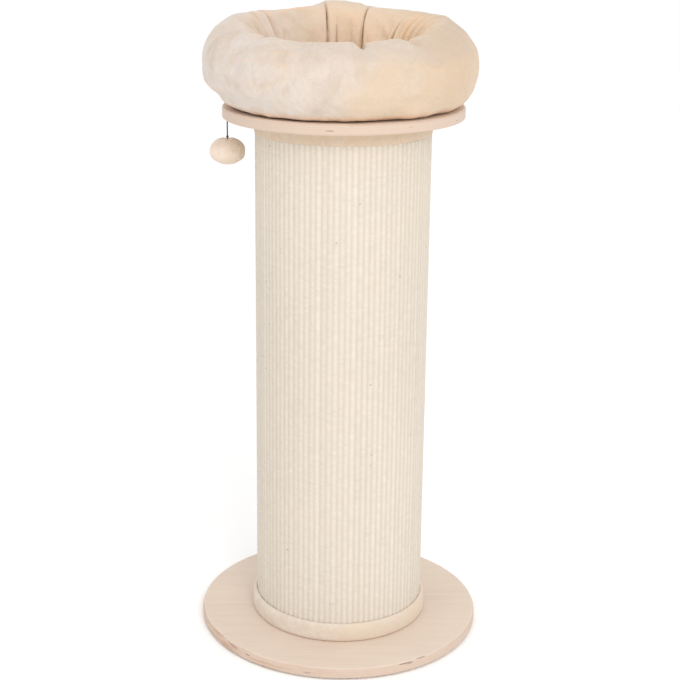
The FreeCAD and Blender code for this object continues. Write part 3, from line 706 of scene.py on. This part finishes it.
def bolster_form(nu, nv, shrink):
    """The ring before it is stuffed: points, and how deep each lies in a fold."""
    th = spread(nu, CLOSE)
    s = np.linspace(0, 1, nv, endpoint=False)
    TH, S = np.meshgrid(th, s, indexing="ij")
    D = np.degrees(TH)
    rz = loop_curve(SECTION, S)
    r, z = rz[..., 0].copy(), rz[..., 1].copy()
    z = 0.7762 + (z - 0.7762) * (around(CREST, D) - 0.7762) / (0.8898 - 0.7762)
    right, left = np.clip(np.cos(TH), 0, 1) ** 1.5, np.clip(-np.cos(TH), 0, 1) ** 1.5
    up = smoothstep(0.835, 0.885, z) * smoothstep(0.130, 0.168, r)
    low = smoothstep(0.809, 0.780, z) * smoothstep(0.135, 0.155, r)
    inside = smoothstep(0.0, 0.10, S) * smoothstep(0.42, 0.30, S)
    r = r - 0.0062 * right * up - around(UNDER, D) * low + around(INNER, D) * inside
    dr = np.roll(r, -1, 1) - np.roll(r, 1, 1)
    dz = np.roll(z, -1, 1) - np.roll(z, 1, 1)
    L = np.hypot(dr, dz) + 1e-12
    nr, nz = -dz / L, dr / L
    depth = np.zeros_like(r)
    mark = np.zeros_like(r)
    for a_in, a_out, s0, s1, deep, wide in FOLDS:
        t = np.clip((S - 0.05) / 0.45, 0, 1)
        da = (D - (a_in + (a_out - a_in) * t) + 180) % 360 - 180
        w = wide * (0.14 / np.maximum(r, 0.09)) ** 0.5
        along = smoothstep(s0, s0 + 0.06, S) * smoothstep(s1, s1 - 0.13, S)
        x = np.abs(da) / w
        depth += deep * along * (np.exp(-(x**1.4)) - 0.10 * np.exp(-(((x - 2.4) / 1.1) ** 2)))
        mark = np.maximum(mark, along * np.exp(-((x * 1.6) ** 2)) * deep / 0.016)
    depth = depth + shrink * smoothstep(0.777, 0.80, z)
    r, z = r - nr * depth, z - nz * depth
    # the foot: flat on the cloth underside, and resting on the plate outside it, in uneven little waves
    foot = smoothstep(0.152, 0.160, r) * smoothstep(0.800, 0.776, z)
    at = np.stack([0.165 * np.cos(TH), 0.165 * np.sin(TH), 0 * TH], -1)
    ruffle = 0.6 * noise(at, 0.022, 91) + 0.4 * noise(at, 0.009, 92)
    gather = np.exp(-(((D - 230) / 10.0) ** 2))
    z = z + foot * (0.0016 * ruffle + gather * 0.0022 * noise(at, 0.006, 93))
    r = r + foot * (0.0024 * noise(at, 0.017, 94) + gather * 0.0030 * noise(at, 0.007, 95))
    z = np.where(r < 0.1525, np.maximum(z, 0.7764), np.maximum(z, 0.77345))
    return np.stack([BED_X + r * np.cos(TH), r * np.sin(TH), z], -1), np.clip(mark, 0, 1), S


def puff(o, hold, pressure, frames, cap, swell=None, stiff=12.0, bend=0.4):
    """Fills a closed cloth skin with pressure, as stuffing does, and keeps the result."""
    rest = points_of(o)
    g = o.vertex_groups.new(name="hold")
    for i, w in enumerate(hold):
        if w > 0.001:
            g.add([i], float(w), "REPLACE")
    mod = o.modifiers.new("cloth", "CLOTH")
    s = mod.settings
    s.quality = 5
    s.mass = 0.25
    s.tension_stiffness = s.compression_stiffness = stiff
    s.shear_stiffness = stiff * 0.5
    s.bending_stiffness = bend
    s.tension_damping = s.compression_damping = s.shear_damping = 8
    s.air_damping = 3.0
    s.use_pressure = True
    s.uniform_pressure_force = pressure
    s.effector_weights.gravity = 0.0
    s.vertex_group_mass = "hold"
    if swell is not None:
        g2 = o.vertex_groups.new(name="swell")
        for i, w in enumerate(swell):
            if w > 0.001:
                g2.add([i], float(w), "REPLACE")
        s.vertex_group_shrink = "swell"
        s.shrink_min = 0.0
        s.shrink_max = -0.05
    mod.point_cache.frame_start = 1
    mod.point_cache.frame_end = frames
    for f in range(1, frames + 1):
        scene.frame_set(f)
    dg = bpy.context.evaluated_depsgraph_get()
    me = o.evaluated_get(dg).to_mesh()
    co = np.zeros(len(me.vertices) * 3, np.float32)
    me.vertices.foreach_get("co", co)
    co = co.reshape(-1, 3).astype(float)
    o.evaluated_get(dg).to_mesh_clear()
    o.modifiers.remove(mod)
    o.vertex_groups.clear()
    move = co - rest
    far = np.linalg.norm(move, axis=1)
    set_points(o, rest + move * np.minimum(1.0, cap / np.maximum(far, 1e-9))[:, None])
    scene.frame_set(1)
    return o


def hollows(o, rounds, start, scale):
    """How far each point lies in a crease, from 0 to 1: its depth below the surface smoothed over about that many edges, past a start."""
    co, n = points_of(o), normals_of(o)
    e = np.zeros(len(o.data.edges) * 2, np.int32)
    o.data.edges.foreach_get("vertices", e)
    a, b = e[0::2], e[1::2]
    count = np.maximum(np.bincount(a, minlength=len(co)) + np.bincount(b, minlength=len(co)), 1)[:, None]
    soft = co.copy()
    for _ in range(rounds):
        near = np.stack([np.bincount(a, soft[b, k], len(co)) + np.bincount(b, soft[a, k], len(co)) for k in range(3)], -1) / count
        soft = 0.5 * soft + 0.5 * near
    return np.clip((((soft - co) * n).sum(1) - start) / scale, 0, 1)


def pressed(o, S):
    """Draws the two sides of each of those folds together."""
    co = points_of(o)
    x, y = co[:, 0] - BED_X, co[:, 1]
    D, r = np.degrees(np.arctan2(y, x)), np.hypot(x, y)
    t = np.clip((S - 0.05) / 0.45, 0, 1)
    turn = np.zeros_like(D)
    for a_in, a_out, wide, shut, s1 in SHUT:
        da = (D - (a_in + (a_out - a_in) * t) + 180) % 360 - 180
        along = smoothstep(0.02, 0.08, S) * smoothstep(s1 + 0.03, s1 - 0.08, S)
        turn -= da * shut * along * np.exp(-((da / wide) ** 2))
    a = np.radians(D + turn)
    co[:, 0], co[:, 1] = BED_X + r * np.cos(a), r * np.sin(a)
    set_points(o, co)


def bolster():
    nu, nv = 430, 76
    P, mark, S = bolster_form(nu, nv, 0.0021)
    o = mesh_piece("bolster", P.reshape(-1, 3), grid_faces(nu, nv))
    # the inner wall, which the material lifts with painted bounce light
    attribute(o, "inside", smoothstep(0.0, 0.05, S) * smoothstep(0.46, 0.34, S))
    z, away = P[..., 2].ravel(), np.hypot(P[..., 0] - BED_X, P[..., 1]).ravel()
    hold = np.maximum(smoothstep(0.7785, 0.7768, z), smoothstep(0.790, 0.778, z) * (away > 0.13))
    inner = (smoothstep(0.03, 0.10, S) * smoothstep(0.55, 0.38, S)).ravel()
    puff(o, hold, 4.0, 20, 0.016, swell=inner)
    pressed(o, S.ravel())
    subdivided(o, 1)
    # how deep each point lies in a crease, for the painted shade there
    attribute(o, "crease", hollows(o, 9, 0.00022, 0.00095))
    co, n = points_of(o), normals_of(o)
    top = smoothstep(0.7775, 0.7850, co[:, 2])
    lump = noise(co, 0.034, 41) * 0.0011 + noise(co, 0.015, 42) * 0.00055 + noise(co, 0.0062, 43) * 0.00022
    co += n * (lump * top)[:, None]
    away = np.hypot(co[:, 0] - BED_X, co[:, 1])
    co[:, 2] = np.where(away < 0.1522, np.maximum(co[:, 2], 0.7762), np.maximum(co[:, 2], 0.7733))
    set_points(o, co)
    return o


ring = bolster()
clothe(ring, bed_plush, "cream_plush", "bed", "bolster_cover", "bolster_filling")


# ------------------------------------------------------------------ the seat pad inside the ring
def seat_pad():
    nu, rings = 180, 34
    A = np.arange(nu) * TAU / nu
    prof = []
    for k in range(rings):  # top, from the middle to the piping
        t = k / (rings - 1)
        rho = 0.0975 * math.sin(t * math.pi / 2)
        prof.append((rho, 0.7800 + 0.0205 * (1 - (rho / 0.0985) ** 4) ** 0.7))
    prof += [(0.0986, 0.7806), (0.0998, 0.7812), (0.1006, 0.7803), (0.1007, 0.7790), (0.0999, 0.7780), (0.0986, 0.7777), (0.094, 0.7766), (0.080, 0.7763), (0.04, 0.7762), (0.0001, 0.7762)]
    R = np.array(prof)
    R[0, 0] = 0.0001
    nv = len(R)
    AA, K = np.meshgrid(A, np.arange(nv), indexing="ij")
    r, z = R[K, 0].copy(), R[K, 1].copy()
    topside = (K < rings).astype(float)
    edge = smoothstep(0.055, 0.094, r) * topside
    pucker = np.cos(AA * 34 + 2.0 * np.sin(AA * 3)) * 0.5 + np.cos(AA * 21 + 1.0) * 0.5
    z -= edge * (0.0009 * pucker + 0.0009) * smoothstep(0.0995, 0.090, r)
    P = np.stack([BED_X + r * np.cos(AA), r * np.sin(AA), z], -1)
    z += topside * smoothstep(0.098, 0.07, r) * (noise(P, 0.045, 51) * 0.0016 + noise(P, 0.018, 52) * 0.0007)
    z -= topside * 0.0030 * np.exp(-((r / 0.045) ** 2))
    P[..., 2] = z
    o = mesh_piece("seat_cushion", P.reshape(-1, 3), grid_faces(nu, nv, close_v=False, flip=True))
    # close the two tiny holes in the middle
    bpy.context.view_layer.update()
    import bmesh

    bm = bmesh.new()
    bm.from_mesh(o.data)
    bmesh.ops.remove_doubles(bm, verts=bm.verts, dist=0.0003)
    bmesh.ops.holes_fill(bm, edges=bm.edges, sides=0)
    bmesh.ops.recalc_face_normals(bm, faces=bm.faces)
    bm.to_mesh(o.data)
    bm.free()
    o.data.polygons.foreach_set("use_smooth", [True] * len(o.data.polygons))
    return o


cushion = seat_pad()
clothe(cushion, pad_plush, "cream_plush", "bed", "seat_pad_cover", "seat_pad_filling")


# ------------------------------------------------------------------ the bed's cloth underside
def underside():
    nu, rings = 180, 18
    A = np.arange(nu) * TAU / nu
    rho = np.concatenate([np.linspace(0.0005, 0.138, rings - 6), [0.1425, 0.1455, 0.1478, 0.1494, 0.1504, 0.1508]])
    AA, RR = np.meshgrid(A, rho, indexing="ij")
    P0 = np.stack([RR * np.cos(AA), RR * np.sin(AA), 0 * RR], -1)
    wave = noise(P0, 0.03, 61) * 0.00015
    tuck = smoothstep(0.140, 0.1506, RR) * (0.00018 + 0.00018 * np.cos(AA * 60))
    low = 0.77512 + np.clip(wave, -0.0001, 0.0002) + tuck
    seam = np.exp(-(((RR - 0.1455) / 0.0007) ** 2)) * 0.0002
    low = low + seam
    high = np.full_like(low, 0.77598)
    lowP = np.stack([BED_X + RR * np.cos(AA), RR * np.sin(AA), low], -1)
    highP = np.stack([BED_X + RR * np.cos(AA), RR * np.sin(AA), high], -1)[:, ::-1]
    P = np.concatenate([lowP, highP], 1)
    nv = P.shape[1]
    return mesh_piece("bed_underside", P.reshape(-1, 3), grid_faces(nu, nv, close_v=True, flip=False))


bottom = underside()
clothe(bottom, base_twill, "base_cloth", "bed", "bed_base_cloth")


# ------------------------------------------------------------------ the ball toy
def ball():
    nu, nv = 144, 72
    a, b, zc = 0.0255, 0.0193, 0.7067
    lam = np.arange(nu) * TAU / nu
    phi = np.linspace(0.02, math.pi - 0.02, nv)
    L, F = np.meshgrid(lam, phi, indexing="ij")
    r = a * np.sin(F) ** 0.92
    z = b * np.cos(F)
    top = np.exp(-((F / 0.42) ** 2))
    z -= 0.0034 * np.exp(-((F / 0.26) ** 2))  # drawn in under the knot
    gather = 0.5 * np.cos(9 * L + 0.7) + 0.5 * np.cos(14 * L + 2.1)
    r *= 1 - 0.09 * top * gather
    z -= 0.0009 * np.exp(-(((F - 0.45) / 0.30) ** 2)) * (0.5 + 0.5 * gather)
    # the seam, from the knot down the right side
    seam = (L + math.radians(32) + math.pi) % TAU - math.pi
    dent = np.exp(-((seam * np.sin(F) * a / 0.0011) ** 2)) * smoothstep(math.pi * 0.80, math.pi * 0.35, F)
    P = np.stack([r * np.cos(L), r * np.sin(L), z], -1)
    n = P / np.linalg.norm(P, axis=-1, keepdims=True)
    P = P - n * (dent * 0.0013)[..., None]
    P = P + n * (noise(P, 0.013, 71) * 0.0009 + noise(P, 0.0050, 72) * 0.00022 + noise(P, 0.0020, 73) * 0.00008)[..., None]
    P = P + np.array([TOY[0], TOY[1], zc])
    faces = [tuple(f) for f in grid_faces(nu, nv, close_v=False, flip=True)]
    faces.append(tuple(i * nv for i in range(nu)))
    faces.append(tuple(i * nv + nv - 1 for i in reversed(range(nu))))
    return mesh_piece("plush_ball", P.reshape(-1, 3), faces)


toy_ball = ball()
clothe(toy_ball, ball_plush, "cream_plush", "toy", "ball_cover", "ball_filling")

loop_tie = knot("loop_tie", (TOY[0], TOY[1], 0.7500), 0.00155, 0.00062)
clothe(loop_tie, black, "black_elastic", "toy_loop", "loop_knot")
upper_knot = knot("a", (TOY[0], TOY[1], 0.7264), 0.00150, 0.00060)
lower_knot = knot("b", (TOY[0], TOY[1], 0.7086), 0.00185, 0.00070)
toy_knots = merged("toy_knots", [upper_knot, lower_knot])
clothe(toy_knots, black, "black_elastic", "toy", "cord_knots")
toy_elastic.data.materials.append(black)
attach(toy_elastic, "toy")
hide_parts("toy_cord")


# ------------------------------------------------------------------ floor, light and view
def floor_disc():
    n, radii = 96, [0.0, 0.6, 2.0, 6.0, 16.0, 45.0]
    pts, faces = [(0, 0, 0)], []
    for r in radii[1:]:
        pts += [(r * math.cos(TAU * k / n), r * math.sin(TAU * k / n), 0.0) for k in range(n)]
    faces += [(0, 1 + k, 1 + (k + 1) % n) for k in range(n)]
    for ring_no in range(len(radii) - 2):
        a, b = 1 + ring_no * n, 1 + (ring_no + 1) * n
        faces += [(a + k, b + k, b + (k + 1) % n, a + (k + 1) % n) for k in range(n)]
    return mesh_piece("floor", pts, faces)


ground = floor_disc()
paper = Finish("floor_paper", Roughness=0.85, Specular_IOR_Level=0.1)
soft = paper.noise(3.0, 2.0, 0.5)
ground.data.materials.append(paper.set(Base_Color=paper.mix(soft, lin(251, 251, 251), lin(253, 253, 253))))


def area_light(name, place, aim, size, power, colour):
    data = bpy.data.lights.new(name, "AREA")
    data.shape = "DISK"
    data.size = size
    data.energy = power
    data.color = colour
    o = bpy.data.objects.new(name, data)
    o.location = place
    o.rotation_euler = (Vector(aim) - Vector(place)).to_track_quat("-Z", "Y").to_euler()
    scene.collection.objects.link(o)


area_light("key", (0.75, -2.7, 2.0), (0, 0, 0.50), 1.3, 30, (1.0, 0.975, 0.94))
area_light("fill", (-2.6, -0.9, 1.9), (0, 0, 0.5), 2.2, 3.5, (0.94, 0.965, 1.0))
world = bpy.data.worlds.new("studio")
scene.world = world
world.use_nodes = True
world.node_tree.nodes["Background"].inputs[0].default_value = (1.0, 1.0, 1.0, 1)
world.node_tree.nodes["Background"].inputs[1].default_value = 1.04
scene.view_settings.view_transform = "Standard"
